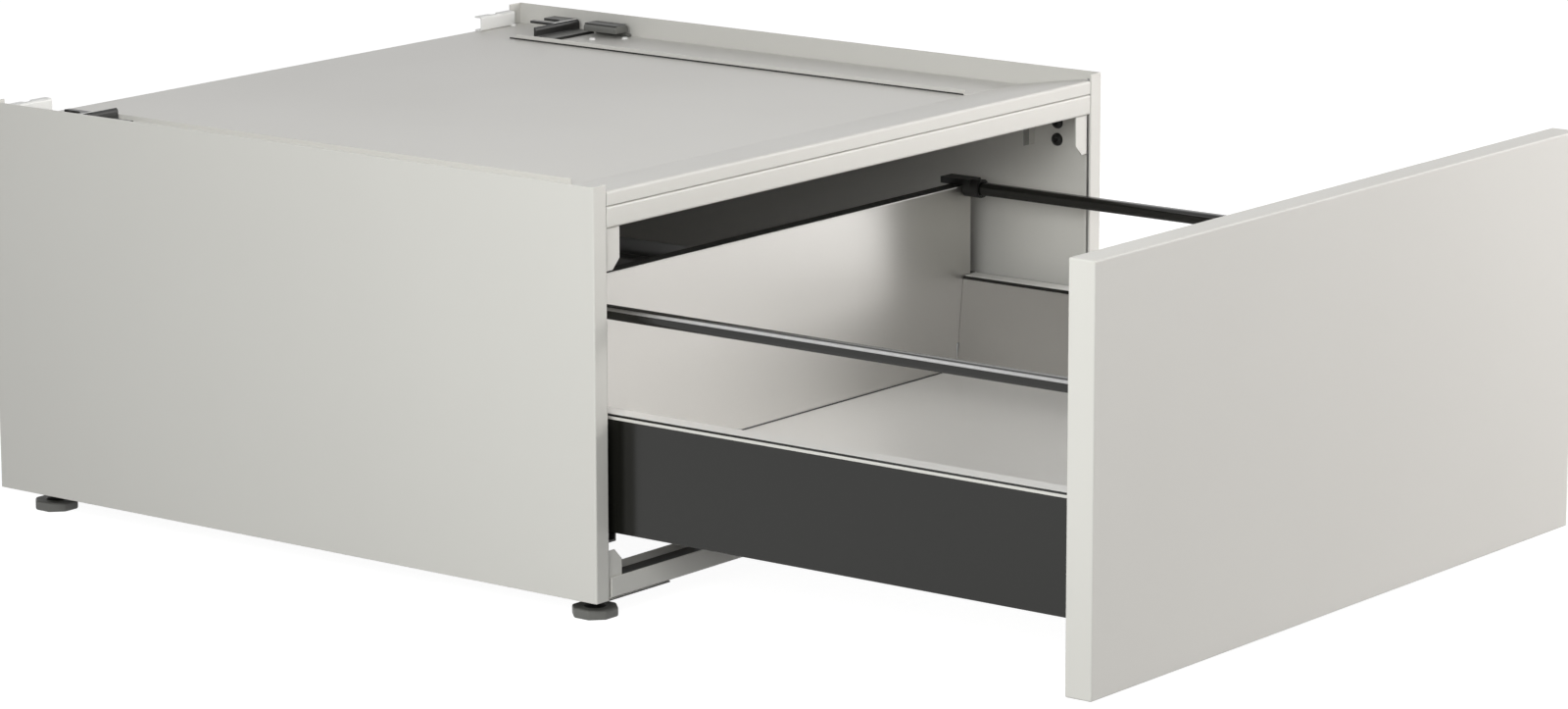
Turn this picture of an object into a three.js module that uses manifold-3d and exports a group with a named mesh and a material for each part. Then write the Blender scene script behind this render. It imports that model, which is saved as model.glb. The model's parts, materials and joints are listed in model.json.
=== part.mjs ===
// Pedestal with one wide drawer that stands under a washing machine.
// Millimetres, +Z up, +Y towards the back. The drawer is drawn out at rest.
// Lengths are first laid out from the casing's front face (y = 0) and from the
// lower edge of its side panels (z = 0); the whole group is moved at the end.

import * as THREE from 'three';
import * as BufferGeometryUtils from 'three/addons/utils/BufferGeometryUtils.js';
import Module from 'manifold-3d';

// ---------------------------------------------------------------- sizes

// general
const GAP = 0.3; // between pieces that sit on or against each other
const SHEET = 1.2; // casing sheet
const BEND_RADIUS = 0.8; // inside radius of a fold
const BEND_STEPS = 3;
const ROUND_STEPS = 24;
const CORNER_STEPS = 4;
const HEXAGON = 6;
const MERGE_DISTANCE = 1e-5;
const OVERCUT = 1; // a cutter's reach past the face it goes through

// casing
const CASING_WIDTH = 595;
const CASING_DEPTH = 567.5;
const PANEL_HEIGHT = 287;
const FLANGE_WIDTH = 14.1; // front and rear flanges of the side panels
const FLANGE_RETURN = 5; // lip behind the flange's inner edge
const DECK_DROP = 16; // side panel's top edge down to the deck
const DECK_REAR_FLANGE = 16;
const LIP_DROP = 4.3; // side panel's top edge down to the front lip
const LIP_HEIGHT = 10.3;
const RAMP_LENGTH = 74; // from the front lip back down to the deck

// foot channels beside the deck
const CHANNEL_WIDTH = 70; // from the casing's outer face
const CHANNEL_START = 76;
const CHANNEL_REAR_MARGIN = 52.5;
const CHANNEL_FLANGE = 30;
const RIDGE_HEIGHT = 4;
const RIDGE_SLIT = 0.8;

// rails across the front and the rear
const RAIL_DEPTH = 28;
const RAIL_END_GAP = 2.4;
const TOP_RAIL_HEIGHT = 15.2;
const TOP_RAIL_GAP = 0.4;
const BOTTOM_RAIL_HEIGHT = 14.7;
const BOTTOM_RAIL_LIFT = 0.7;

// corner brackets
const BRACKET_SETBACK = 2; // leg behind the casing's front face
const TOP_BRACKET_HEIGHT = 29.2;
const BOTTOM_BRACKET_HEIGHT = 31.8;
const BRACKET_LEG_WIDTH = 15.4;
const BRACKET_CHAMFER = 7.6;
const BRACKET_JOG = 3; // behind the flange's return lip
const TOP_BRACKET_LENGTH = 60;
const BOTTOM_BRACKET_LENGTH = 40;
const BRACKET_TAB = 8;
const SCREW_HEAD_RADIUS = 5;
const SCREW_HEAD_HEIGHT = 2.6;
const SCREW_CROWN_RADIUS = 3.9;
const SCREW_RIM_HEIGHT = 1.3;
const SCREW_SHANK_RADIUS = 2.4;
const SCREW_SOCKET_RADIUS = 2;
const SCREW_SOCKET_DEPTH = 1.6;
const SCREW_SETBACK = 38;
const SCREW_PITCH = 13.2;
const SCREW_EDGE = 5.2; // lower screw above the bracket's lower edge

// levelling feet
const FOOT_INSET = 22.5; // from the casing's outer face
const FOOT_SETBACK = 20; // from the outer face of its rail
const REAR_RAIL_INSET = 14.5; // rear rail's outer face to the casing's rear face
const FOOT_RADIUS = 16.7;
const FOOT_SIDES = 8;
const FOOT_HEIGHT = 7;
const FOOT_CHAMFER = 2;
const FOOT_DROP = 15; // sole below the side panels
const STEM_RADIUS = 4;
const STEM_TOP = 20;
const NUT_ACROSS_FLATS = 13;
const NUT_HEIGHT = 6.5;
const FOOT_PLATE_THICKNESS = 1.1;
const FOOT_PLATE_LENGTH = 66.5;
const FOOT_PLATE_DEPTH = 43;
const FOOT_PLATE_SETBACK = 1; // behind the outer face of its rail

// rear panel and rear stops
const REAR_PANEL_LIFT = 2.5;
const STOP_WIDTH = 41;
const STOP_HEIGHT = 11.7;
const STOP_DEPTH = 7.4;
const STOP_EDGE_GAP = 1.4;
const STOP_NOTCH_WIDTH = 9;
const STOP_NOTCH_DEPTH = 4;

// machine foot retainers
const RETAINER_SHEET = 2;
const RETAINER_HEIGHT = 10;
const FORK_EDGE_GAP = 7;
const FORK_WEB_WIDTH = 54;
const FORK_WEB_SETBACK = 66.5; // web in front of the casing's rear face
const FORK_BASE = 17;
const FORK_LENGTH = 24;
const FORK_FAR_PRONG = 13;
const FORK_SLOT_WIDTH = 12;
const FORK_NEAR_PRONG = 5;
const FORK_SLOT_DEPTH = 20;
const FORK_HOLE_RADIUS = 2.6;
const FORK_HOLE_PITCH = 20;
const CLAMP_EDGE_GAP = 6;
const CLAMP_WIDTH = 15.3;
const CLAMP_LENGTH = 33;
const CLAMP_SETBACK = 117.5; // front end in front of the casing's rear face
const CLAMP_BRIM = 5;
const CLAMP_LIP_RISE = 4; // lower edge of its near flange above the channel floor

// drawer
const DRAWER_OPENING = 386.5; // front panel's back face to the casing, as it stands
const FRONT_THICKNESS = 20.8;
const FRONT_SIDE_MARGIN = 0.25;
const FRONT_TOP_DROP = 0.8;
const FRONT_SHEET = 1.2;
const FRONT_EDGE_RADIUS = 1.2;
const FRONT_EDGE_STEPS = 2;
const DRAWER_LENGTH = 483.5; // front panel's back face to the back liner
const DRAWER_SIDE_GAP = 7.6; // runner support to drawer side
const DRAWER_LIFT = 45.6; // lower edge of the drawer sides
const SIDE_HEIGHT = 81.4;
const SIDE_TOP_WIDTH = 19.3;
const SIDE_BASE_WIDTH = 26.6;
const SIDE_SHEET = 1;
const SIDE_TOP_RADIUS = 3;
const SIDE_INNER_RETURN = 6;
const LINER_SHEET = 0.8;
const LINER_LEDGE = 13;
const LINER_FOOT = 7;
const FLOOR_THICKNESS = 5.6;
const BACK_THICKNESS = 12;
const BACK_RISE = 150.7; // above the lower edge of the sides
const BACK_UPPER_WIDTH = 532;

// gallery rails
const GALLERY_WIDTH = 10;
const GALLERY_HEIGHT = 9.4;
const GALLERY_RADIUS = 3.4;
const GALLERY_RISE = 149; // centre above the lower edge of the sides
const GALLERY_INSET = 14; // centre from the drawer side's outer face
const HOLDER_WALL = 2.2;
const HOLDER_GRIP = 14;
const HOLDER_BACKING = 7;
const SOCKET_THICKNESS = 3;
const SOCKET_WALL = 2;

// front fixings in the hollow drawer sides
const FIXING_LENGTH = 42;
const FIXING_HEIGHT = 34;
const FIXING_WIDTH = 11;
const FIXING_DROP = 12;

// runners
const SUPPORT_BRIM = 14;
const SUPPORT_MARGIN = 2; // behind the bottom corner bracket
const SUPPORT_REAR_MARGIN = 30;
const SUPPORT_BASE = 36;
const SUPPORT_FACE = 58;
const RUNNER_SHEET = 1.5;
const RUNNER_CLEARANCE = 0.4;
const RUNNER_START = 4;
const RUNNER_LENGTH = 500;
const RUNNER_SIDE_CLEARANCE = 1.8;
const RUNNER_FOOT_DROP = 5.1;
const RUNNER_FLANGE_HEIGHT = 24;
const RUNNER_CHANNEL_DEPTH = 9;
const CENTRE_LENGTH = 460;
const CENTRE_HEIGHT = 28;
const DRAWER_MEMBER_DEPTH = 7.4;
const DRAWER_MEMBER_LEDGE = 14;
const DRAWER_MEMBER_MARGIN = 6;

// ---------------------------------------------------------------- places

const halfWidth = CASING_WIDTH / 2;
const wallX = halfWidth - SHEET;
const insideX = wallX - GAP;
const flangeX = halfWidth - FLANGE_WIDTH;
const railEndX = flangeX - RAIL_END_GAP;

const deckZ = PANEL_HEIGHT - DECK_DROP;
const deckUndersideZ = deckZ - SHEET;
const lipTopZ = PANEL_HEIGHT - LIP_DROP;
const lipBottomZ = lipTopZ - LIP_HEIGHT;
const topRailZ = lipBottomZ - TOP_RAIL_GAP;
const topRailBottomZ = topRailZ - TOP_RAIL_HEIGHT;

const channelX = halfWidth - CHANNEL_WIDTH;
const channelEndY = CASING_DEPTH - CHANNEL_REAR_MARGIN;
const rearFlangeY = CASING_DEPTH - SHEET;
const rearPanelY = rearFlangeY - GAP;
const rearRailY = CASING_DEPTH - REAR_RAIL_INSET;

const footX = halfWidth - FOOT_INSET;
const footYs = { front: FOOT_SETBACK, rear: rearRailY - FOOT_SETBACK };

const supportX = flangeX;
const supportTopZ = SUPPORT_BASE + SUPPORT_FACE;
const supportStartY = BOTTOM_BRACKET_LENGTH + SUPPORT_MARGIN;
const drawerX = supportX - DRAWER_SIDE_GAP;
const frontBackY = -DRAWER_OPENING;
const frontFaceY = frontBackY - FRONT_THICKNESS;
const sideStartY = frontBackY + GAP;
const backY = frontBackY + DRAWER_LENGTH;
const sideTopZ = DRAWER_LIFT + SIDE_HEIGHT;
const sideInnerTopX = drawerX - SIDE_TOP_WIDTH;
const sideInnerBaseX = drawerX - SIDE_BASE_WIDTH;
const galleryX = drawerX - GALLERY_INSET;
const galleryZ = DRAWER_LIFT + GALLERY_RISE;
const backTopZ = DRAWER_LIFT + BACK_RISE;

// the runner's three members are nested from the outside in
const cabinetWebX = drawerX - SIDE_SHEET - RUNNER_SIDE_CLEARANCE;
const centreWebX = cabinetWebX - RUNNER_SHEET - RUNNER_CLEARANCE;
const centreBottomZ = DRAWER_LIFT + RUNNER_CLEARANCE;
const centreTopZ = centreBottomZ + CENTRE_HEIGHT;
const memberBottomZ = centreBottomZ + RUNNER_SHEET + RUNNER_CLEARANCE;
const memberTopZ = centreTopZ - RUNNER_SHEET - RUNNER_CLEARANCE;
const memberLipX = centreWebX - RUNNER_SHEET - RUNNER_CLEARANCE;
const memberWebX = memberLipX - DRAWER_MEMBER_DEPTH;
const ledgeBottomZ = memberBottomZ + RUNNER_SHEET + GAP;
const floorBottomZ = ledgeBottomZ + LINER_SHEET + GAP;
const floorTopZ = floorBottomZ + FLOOR_THICKNESS;

// ---------------------------------------------------------------- solids

const wasm = await Module();
wasm.setup();

// A prism along one row axis. The outline's two numbers are x, y for a prism
// along z, x, z along y, and y, z along x.
function prism(axis, outline, from, to) {
  const shape = new THREE.Shape(outline.map(([u, v]) => new THREE.Vector2(u, v)));
  const geometry = new THREE.ExtrudeGeometry(shape, { depth: to - from, bevelEnabled: false });
  if (axis === 'z') {
    return geometry.translate(0, 0, from);
  }
  if (axis === 'y') {
    return geometry.rotateX(Math.PI / 2).translate(0, to, 0);
  }
  const turn = new THREE.Matrix4().set(0, 0, 1, from, 1, 0, 0, 0, 0, 1, 0, 0, 0, 0, 0, 1);
  return geometry.applyMatrix4(turn);
}

function block(x0, x1, y0, y1, z0, z1) {
  return prism('z', [[x0, y0], [x1, y0], [x1, y1], [x0, y1]], z0, z1);
}

function circle(u, v, radius, sides = ROUND_STEPS, turn = 0) {
  const points = [];
  for (let i = 0; i < sides; i += 1) {
    const angle = turn + (2 * Math.PI * i) / sides;
    points.push([u + radius * Math.cos(angle), v + radius * Math.sin(angle)]);
  }
  return points;
}

function roundedRectangle(u0, u1, v0, v1, radius, steps = CORNER_STEPS) {
  const corners = [[u1 - radius, v0 + radius, -90], [u1 - radius, v1 - radius, 0],
    [u0 + radius, v1 - radius, 90], [u0 + radius, v0 + radius, 180]];
  const points = [];
  for (const [u, v, start] of corners) {
    for (let i = 0; i <= steps; i += 1) {
      const angle = THREE.MathUtils.degToRad(start + (90 * i) / steps);
      points.push([u + radius * Math.cos(angle), v + radius * Math.sin(angle)]);
    }
  }
  return points;
}

// Outline of a folded sheet. The corners lie on one face, and the metal lies to
// the left of the way they run.
function foldedSheet(corners, gauge, insideRadius = BEND_RADIUS, steps = BEND_STEPS) {
  const near = [];
  const far = [];
  const points = corners.map(([u, v]) => new THREE.Vector2(u, v));
  const last = points.length - 1;
  const leftOf = (direction) => new THREE.Vector2(-direction.y, direction.x);
  const add = (point, normal) => {
    near.push([point.x, point.y]);
    far.push([point.x + normal.x * gauge, point.y + normal.y * gauge]);
  };
  const heading = (i) => points[i + 1].clone().sub(points[i]).normalize();
  add(points[0], leftOf(heading(0)));
  for (let i = 1; i < last; i += 1) {
    const before = heading(i - 1);
    const turn = Math.atan2(before.cross(heading(i)), before.dot(heading(i)));
    const side = Math.sign(turn);
    const radius = side > 0 ? insideRadius + gauge : insideRadius;
    const reach = radius * Math.tan(Math.abs(turn) / 2);
    const normal = leftOf(before);
    const centre = points[i].clone().addScaledVector(before, -reach)
      .addScaledVector(normal, side * radius);
    for (let k = 0; k <= steps; k += 1) {
      const turned = normal.clone().rotateAround(new THREE.Vector2(), (turn * k) / steps);
      add(centre.clone().addScaledVector(turned, -side * radius), turned);
    }
  }
  add(points[last], leftOf(heading(last - 1)));
  return [...near, ...far.reverse()];
}

function toManifold(geometry) {
  const bare = new THREE.BufferGeometry();
  bare.setAttribute('position', geometry.getAttribute('position'));
  if (geometry.index) {
    bare.setIndex(geometry.index);
  }
  const merged = BufferGeometryUtils.mergeVertices(bare, MERGE_DISTANCE);
  return new wasm.Manifold(new wasm.Mesh({
    numProp: 3,
    vertProperties: new Float32Array(merged.getAttribute('position').array),
    triVerts: new Uint32Array(merged.index.array),
  }));
}

function fromManifold(solid) {
  const mesh = solid.getMesh();
  const geometry = new THREE.BufferGeometry();
  geometry.setAttribute('position', new THREE.BufferAttribute(mesh.vertProperties, 3));
  geometry.setIndex(new THREE.BufferAttribute(mesh.triVerts, 1));
  return geometry;
}

function cut(geometry, ...tools) {
  return fromManifold(tools.reduce((solid, tool) => solid.subtract(toManifold(tool)),
    toManifold(geometry)));
}

function join(geometry, ...others) {
  return fromManifold(others.reduce((solid, other) => solid.add(toManifold(other)),
    toManifold(geometry)));
}

// The pieces of one side are drawn for +X and mirrored for the other side.
function handed(geometry, side) {
  if (side > 0) {
    return geometry;
  }
  const mirrored = geometry.clone().scale(-1, 1, 1);
  const count = mirrored.getAttribute('position').count;
  const order = mirrored.index ? Array.from(mirrored.index.array) : [...Array(count).keys()];
  for (let i = 0; i < order.length; i += 3) {
    [order[i + 1], order[i + 2]] = [order[i + 2], order[i + 1]];
  }
  mirrored.setIndex(order);
  return mirrored;
}

// ---------------------------------------------------------------- finishes

const finish = (color, roughness, metalness) => ({ color, roughness, metalness });
const FINISHES = {
  casing: finish(0xc9c8c3, 0.45, 0.1),
  bracketWhite: finish(0xd9d9d5, 0.4, 0.1),
  zinc: finish(0x9a9a98, 0.4, 0.8),
  blackSteel: finish(0x1d1d1c, 0.5, 0.3),
  anthracite: finish(0x383834, 0.35, 0.3),
  satinSteel: finish(0xc4c3bf, 0.3, 0.9),
  board: finish(0x2c2c2a, 0.6, 0),
  blackPlastic: finish(0x1b1b1a, 0.45, 0),
  footPlastic: finish(0x4a4a48, 0.6, 0),
};

const group = new THREE.Group();

function place(name, geometry, finishName) {
  geometry.deleteAttribute('uv');
  geometry.deleteAttribute('normal');
  geometry.computeVertexNormals();
  const mesh = new THREE.Mesh(geometry, new THREE.MeshStandardMaterial(FINISHES[finishName]));
  mesh.name = name;
  group.add(mesh);
}

const SIDES = { left: -1, right: 1 };

function placePair(name, geometry, finishName) {
  for (const [word, side] of Object.entries(SIDES)) {
    place(`${name}_${word}`, handed(geometry.clone(), side), finishName);
  }
}

// ---------------------------------------------------------------- casing

function sidePanel() {
  const section = foldedSheet([
    [flangeX, FLANGE_RETURN], [flangeX, 0], [halfWidth, 0],
    [halfWidth, CASING_DEPTH], [flangeX, CASING_DEPTH],
  ], SHEET);
  return prism('z', section, 0, PANEL_HEIGHT);
}

function deckPanel() {
  const section = foldedSheet([
    [CASING_DEPTH, deckZ - DECK_REAR_FLANGE], [CASING_DEPTH, deckZ], [RAMP_LENGTH, deckZ],
    [0, lipTopZ], [0, lipBottomZ],
  ], SHEET);
  const blank = prism('x', section, -insideX, insideX);
  const below = deckZ - DECK_REAR_FLANGE - OVERCUT;
  const above = PANEL_HEIGHT;
  const cutters = Object.values(SIDES).flatMap((side) => [
    block(channelX, halfWidth, CHANNEL_START, channelEndY, below, above),
    block(flangeX - RAIL_END_GAP, halfWidth, -OVERCUT, FLANGE_RETURN + GAP, below, above),
    block(flangeX - GAP, halfWidth, rearPanelY - SHEET, CASING_DEPTH + OVERCUT, below, above),
  ].map((cutter) => handed(cutter, side)));
  return cut(blank, ...cutters);
}

function footChannel() {
  const section = foldedSheet([
    [channelX + RIDGE_SLIT, deckZ + RIDGE_HEIGHT], [channelX + RIDGE_SLIT, deckUndersideZ],
    [insideX - SHEET, deckUndersideZ], [insideX - SHEET, deckUndersideZ - CHANNEL_FLANGE],
  ], SHEET);
  return prism('y', section, CHANNEL_START + GAP, channelEndY - GAP);
}

function frontTopRail() {
  const section = foldedSheet([
    [RAIL_DEPTH, topRailZ], [0, topRailZ], [0, topRailBottomZ], [RAIL_DEPTH, topRailBottomZ],
  ], SHEET);
  return prism('x', section, -railEndX, railEndX);
}

function stemHole(y) {
  return prism('z', circle(footX, y, STEM_RADIUS + GAP), -FOOT_DROP, STEM_TOP);
}

// Upward channel; `outward` is -1 for the front rail and 1 for the rear one.
function bottomRail(faceY, outward, endX) {
  const bottom = BOTTOM_RAIL_LIFT;
  const top = bottom + BOTTOM_RAIL_HEIGHT;
  const front = outward < 0 ? faceY : faceY - RAIL_DEPTH;
  const section = foldedSheet([
    [front, top], [front, bottom], [front + RAIL_DEPTH, bottom], [front + RAIL_DEPTH, top],
  ], SHEET);
  const hole = stemHole(faceY - outward * FOOT_SETBACK);
  return cut(prism('x', section, -endX, endX), hole, handed(hole, -1));
}

// A leg beside the opening that steps round the flange's return lip and runs back
// along the side panel; the top one ends in a short tab.
function cornerBracket(bottomZ, topZ, length, tab, legCorners) {
  const jogX = flangeX - GAP - SHEET;
  const jogY = FLANGE_RETURN + BRACKET_JOG;
  const path = [
    [jogX + SHEET - BRACKET_LEG_WIDTH, BRACKET_SETBACK], [jogX + SHEET, BRACKET_SETBACK],
    [jogX + SHEET, jogY], [insideX, jogY], [insideX, length],
  ];
  if (tab > 0) {
    path.push([insideX - tab, length]);
  }
  const plate = prism('z', foldedSheet(path, SHEET), bottomZ, topZ);
  const corner = prism('y', legCorners(jogX + SHEET - BRACKET_LEG_WIDTH), 0, FLANGE_RETURN);
  return cut(plate, corner);
}

function topBracket() {
  const topZ = topRailBottomZ - GAP;
  const bottomZ = topZ - TOP_BRACKET_HEIGHT;
  const chamfer = (x) => [[x - OVERCUT, bottomZ - OVERCUT], [x + BRACKET_CHAMFER, bottomZ - OVERCUT],
    [x + BRACKET_CHAMFER, bottomZ], [x, bottomZ + BRACKET_CHAMFER],
    [x - OVERCUT, bottomZ + BRACKET_CHAMFER]];
  const plate = cornerBracket(bottomZ, topZ, TOP_BRACKET_LENGTH, BRACKET_TAB, chamfer);
  const holes = screwHeights().map((z) => prism('x',
    circle(SCREW_SETBACK, z, SCREW_SHANK_RADIUS + GAP), insideX - 2 * SHEET, halfWidth));
  return cut(plate, ...holes);
}

function bottomBracket() {
  const bottomZ = BOTTOM_RAIL_LIFT + SHEET + GAP;
  const topZ = bottomZ + BOTTOM_BRACKET_HEIGHT;
  const chamfer = (x) => [[x - OVERCUT, topZ + OVERCUT], [x - OVERCUT, topZ - BRACKET_CHAMFER],
    [x, topZ - BRACKET_CHAMFER], [x + BRACKET_CHAMFER, topZ], [x + BRACKET_CHAMFER, topZ + OVERCUT]];
  return cornerBracket(bottomZ, topZ, BOTTOM_BRACKET_LENGTH, 0, chamfer);
}

function screwHeights() {
  const lower = topRailBottomZ - GAP - TOP_BRACKET_HEIGHT + SCREW_EDGE;
  return [lower, lower + SCREW_PITCH];
}

// Pan-head screw along x, its head towards the drawer, with a round driver socket.
function bracketScrew(z) {
  const faceX = insideX - SHEET;
  const headX = faceX - SCREW_HEAD_HEIGHT;
  const profile = [[0, 0], [SCREW_CROWN_RADIUS, 0], [SCREW_HEAD_RADIUS, SCREW_RIM_HEIGHT],
    [SCREW_HEAD_RADIUS, SCREW_HEAD_HEIGHT], [SCREW_SHANK_RADIUS, SCREW_HEAD_HEIGHT],
    [SCREW_SHANK_RADIUS, SCREW_HEAD_HEIGHT + SHEET], [0, SCREW_HEAD_HEIGHT + SHEET]];
  const body = new THREE.LatheGeometry(profile.map(([r, h]) => new THREE.Vector2(r, h)), ROUND_STEPS)
    .rotateZ(-Math.PI / 2).translate(headX, SCREW_SETBACK, z);
  const socket = prism('x', circle(SCREW_SETBACK, z, SCREW_SOCKET_RADIUS, HEXAGON), headX - OVERCUT,
    headX + SCREW_SOCKET_DEPTH);
  return cut(body, socket);
}

function rearPanel() {
  return block(-insideX, insideX, rearPanelY - SHEET, rearPanelY, REAR_PANEL_LIFT,
    deckUndersideZ - GAP);
}

function footPlate(faceY, outward) {
  const near = faceY - outward * FOOT_PLATE_SETBACK;
  const far = near - outward * FOOT_PLATE_DEPTH;
  const top = BOTTOM_RAIL_LIFT - GAP;
  const outer = flangeX - GAP;
  const plate = block(outer - FOOT_PLATE_LENGTH, outer, Math.min(near, far), Math.max(near, far),
    top - FOOT_PLATE_THICKNESS, top);
  return cut(plate, stemHole(faceY - outward * FOOT_SETBACK));
}

function lockNut(y) {
  const bottom = BOTTOM_RAIL_LIFT + SHEET + GAP;
  const corner = NUT_ACROSS_FLATS / Math.sqrt(3);
  return cut(prism('z', circle(footX, y, corner, HEXAGON), bottom, bottom + NUT_HEIGHT), stemHole(y));
}

function levellingFoot(y) {
  const sole = -FOOT_DROP;
  const top = sole + FOOT_HEIGHT;
  const profile = [[0, sole], [FOOT_RADIUS - FOOT_CHAMFER, sole], [FOOT_RADIUS, sole + FOOT_CHAMFER],
    [FOOT_RADIUS, top - FOOT_CHAMFER], [FOOT_RADIUS - FOOT_CHAMFER, top], [0, top]];
  const pad = new THREE.LatheGeometry(profile.map(([r, h]) => new THREE.Vector2(r, h)), FOOT_SIDES)
    .rotateX(Math.PI / 2).rotateZ(Math.PI / FOOT_SIDES).translate(footX, y, 0);
  const stem = prism('z', circle(footX, y, STEM_RADIUS), top - FOOT_CHAMFER, STEM_TOP);
  return join(pad, stem);
}

function rearStop() {
  const outer = flangeX - STOP_EDGE_GAP;
  const base = deckZ;
  const top = deckZ + STOP_HEIGHT;
  const rear = CASING_DEPTH;
  const front = rear - STOP_DEPTH;
  const section = foldedSheet([[rear, top], [front, top], [front, base], [rear - GAP, base]], SHEET);
  const bracket = prism('x', section, outer - STOP_WIDTH, outer);
  const middle = outer - STOP_WIDTH / 2;
  const notch = block(middle - STOP_NOTCH_WIDTH / 2, middle + STOP_NOTCH_WIDTH / 2,
    rear - STOP_NOTCH_DEPTH, rear + OVERCUT, top - SHEET - OVERCUT, top + OVERCUT);
  return cut(bracket, notch);
}

// Pressed fork: base on the channel floor, upright web, and two prongs that reach back
// over the machine's foot.
function rearRetainer() {
  const outer = wallX - FORK_EDGE_GAP;
  const inner = outer - FORK_WEB_WIDTH;
  const webY = CASING_DEPTH - FORK_WEB_SETBACK;
  const tipY = webY + FORK_LENGTH;
  const prongZ = deckZ + RETAINER_HEIGHT - RETAINER_SHEET;
  const section = foldedSheet([[webY - FORK_BASE, deckZ], [webY, deckZ], [webY, prongZ],
    [tipY, prongZ]], RETAINER_SHEET, RETAINER_SHEET / 2);
  const slotOuter = outer - FORK_FAR_PRONG;
  const slotInner = slotOuter - FORK_SLOT_WIDTH;
  const forkInner = slotInner - FORK_NEAR_PRONG;
  const half = FORK_SLOT_WIDTH / 2;
  const slotEnd = tipY - FORK_SLOT_DEPTH + half;
  const below = prongZ - OVERCUT;
  const above = prongZ + RETAINER_SHEET + OVERCUT;
  const forkSlot = join(block(slotInner, slotOuter, slotEnd, tipY + OVERCUT, below, above),
    prism('z', circle(slotInner + half, slotEnd, half), below, above));
  const waste = block(inner - OVERCUT, forkInner, webY, tipY + OVERCUT, below, above);
  const middle = (outer + inner) / 2;
  const holeY = webY - RETAINER_SHEET - FORK_BASE / 2;
  const holes = [-1, 1].map((side) => prism('z',
    circle(middle + side * FORK_HOLE_PITCH, holeY, FORK_HOLE_RADIUS),
    deckZ - OVERCUT, deckZ + RETAINER_SHEET + OVERCUT));
  return cut(prism('x', section, inner, outer), forkSlot, waste, ...holes);
}

// Pressed clamp beside the machine's foot: a hood on a brim, with a closed front end.
function frontRetainer() {
  const outer = wallX - CLAMP_EDGE_GAP - RETAINER_SHEET;
  const inner = outer + RETAINER_SHEET * 2 - CLAMP_WIDTH;
  const lipZ = deckZ + CLAMP_LIP_RISE;
  const roofZ = deckZ + RETAINER_HEIGHT - RETAINER_SHEET;
  const front = CASING_DEPTH - CLAMP_SETBACK;
  const section = foldedSheet([[inner, lipZ], [inner, roofZ], [outer, roofZ], [outer, deckZ],
    [outer + RETAINER_SHEET / 2 + CLAMP_BRIM, deckZ]], RETAINER_SHEET, RETAINER_SHEET / 2);
  const hood = prism('y', section, front, front + CLAMP_LENGTH);
  const end = block(inner - RETAINER_SHEET / 2, outer + RETAINER_SHEET / 2, front,
    front + RETAINER_SHEET, lipZ, roofZ + RETAINER_SHEET / 2);
  return join(hood, end);
}

// Hat channel along the side panel that carries the runner.
function runnerSupport() {
  const faceX = supportX + SHEET;
  const section = foldedSheet([
    [insideX, SUPPORT_BASE - SUPPORT_BRIM], [insideX, SUPPORT_BASE], [faceX, SUPPORT_BASE],
    [faceX, supportTopZ], [insideX, supportTopZ], [insideX, supportTopZ + SUPPORT_BRIM],
  ], SHEET);
  return prism('y', section, supportStartY, CASING_DEPTH - SUPPORT_REAR_MARGIN);
}

// ---------------------------------------------------------------- runners

// Fixed member: a foot that passes under the drawer side, an upright web inside the
// hollow side, and a channel that the centre member runs in.
function cabinetMember() {
  const s = RUNNER_SHEET;
  const flangeFaceX = supportX - GAP;
  const lipX = cabinetWebX - RUNNER_CHANNEL_DEPTH;
  const trackZ = centreBottomZ - RUNNER_CLEARANCE;
  const baseZ = trackZ - s - RUNNER_FOOT_DROP;
  const topZ = centreTopZ + RUNNER_CLEARANCE;
  const outline = [
    [cabinetWebX - s, baseZ], [flangeFaceX, baseZ], [flangeFaceX, baseZ + RUNNER_FLANGE_HEIGHT],
    [flangeFaceX - s, baseZ + RUNNER_FLANGE_HEIGHT], [flangeFaceX - s, baseZ + s],
    [cabinetWebX, baseZ + s], [cabinetWebX, topZ + s], [lipX, topZ + s], [lipX, topZ],
    [cabinetWebX - s, topZ], [cabinetWebX - s, trackZ], [lipX, trackZ], [lipX, trackZ - s],
    [cabinetWebX - s, trackZ - s],
  ];
  return prism('y', outline, RUNNER_START, RUNNER_START + RUNNER_LENGTH);
}

function centreMember() {
  const lipX = centreWebX - RUNNER_CHANNEL_DEPTH;
  const section = foldedSheet([
    [lipX, centreBottomZ], [centreWebX, centreBottomZ], [centreWebX, centreTopZ], [lipX, centreTopZ],
  ], RUNNER_SHEET, BEND_RADIUS / 2);
  const start = RUNNER_START - DRAWER_OPENING / 2;
  return prism('y', section, start, start + CENTRE_LENGTH);
}

// Moves with the drawer; its long lower flange carries the liner's ledge.
function drawerMember() {
  const s = RUNNER_SHEET;
  const ledgeX = sideInnerBaseX - DRAWER_MEMBER_LEDGE;
  const outline = [
    [ledgeX, memberBottomZ], [memberLipX, memberBottomZ], [memberLipX, memberBottomZ + s],
    [memberWebX + s, memberBottomZ + s], [memberWebX + s, memberTopZ - s], [memberLipX, memberTopZ - s],
    [memberLipX, memberTopZ], [memberWebX, memberTopZ], [memberWebX, memberBottomZ + s],
    [ledgeX, memberBottomZ + s],
  ];
  return prism('y', outline, frontBackY + DRAWER_MEMBER_MARGIN, backY - GAP);
}

// ---------------------------------------------------------------- drawer

// Dark outer skin: outer wall, rounded top and a short return that clips over the liner.
function drawerSide() {
  const section = foldedSheet([
    [drawerX, DRAWER_LIFT], [drawerX, sideTopZ], [sideInnerTopX, sideTopZ],
    [sideInnerTopX, sideTopZ - SIDE_INNER_RETURN],
  ], SIDE_SHEET, SIDE_TOP_RADIUS - SIDE_SHEET, 2 * BEND_STEPS);
  return prism('y', section, sideStartY, backY - GAP);
}

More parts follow.
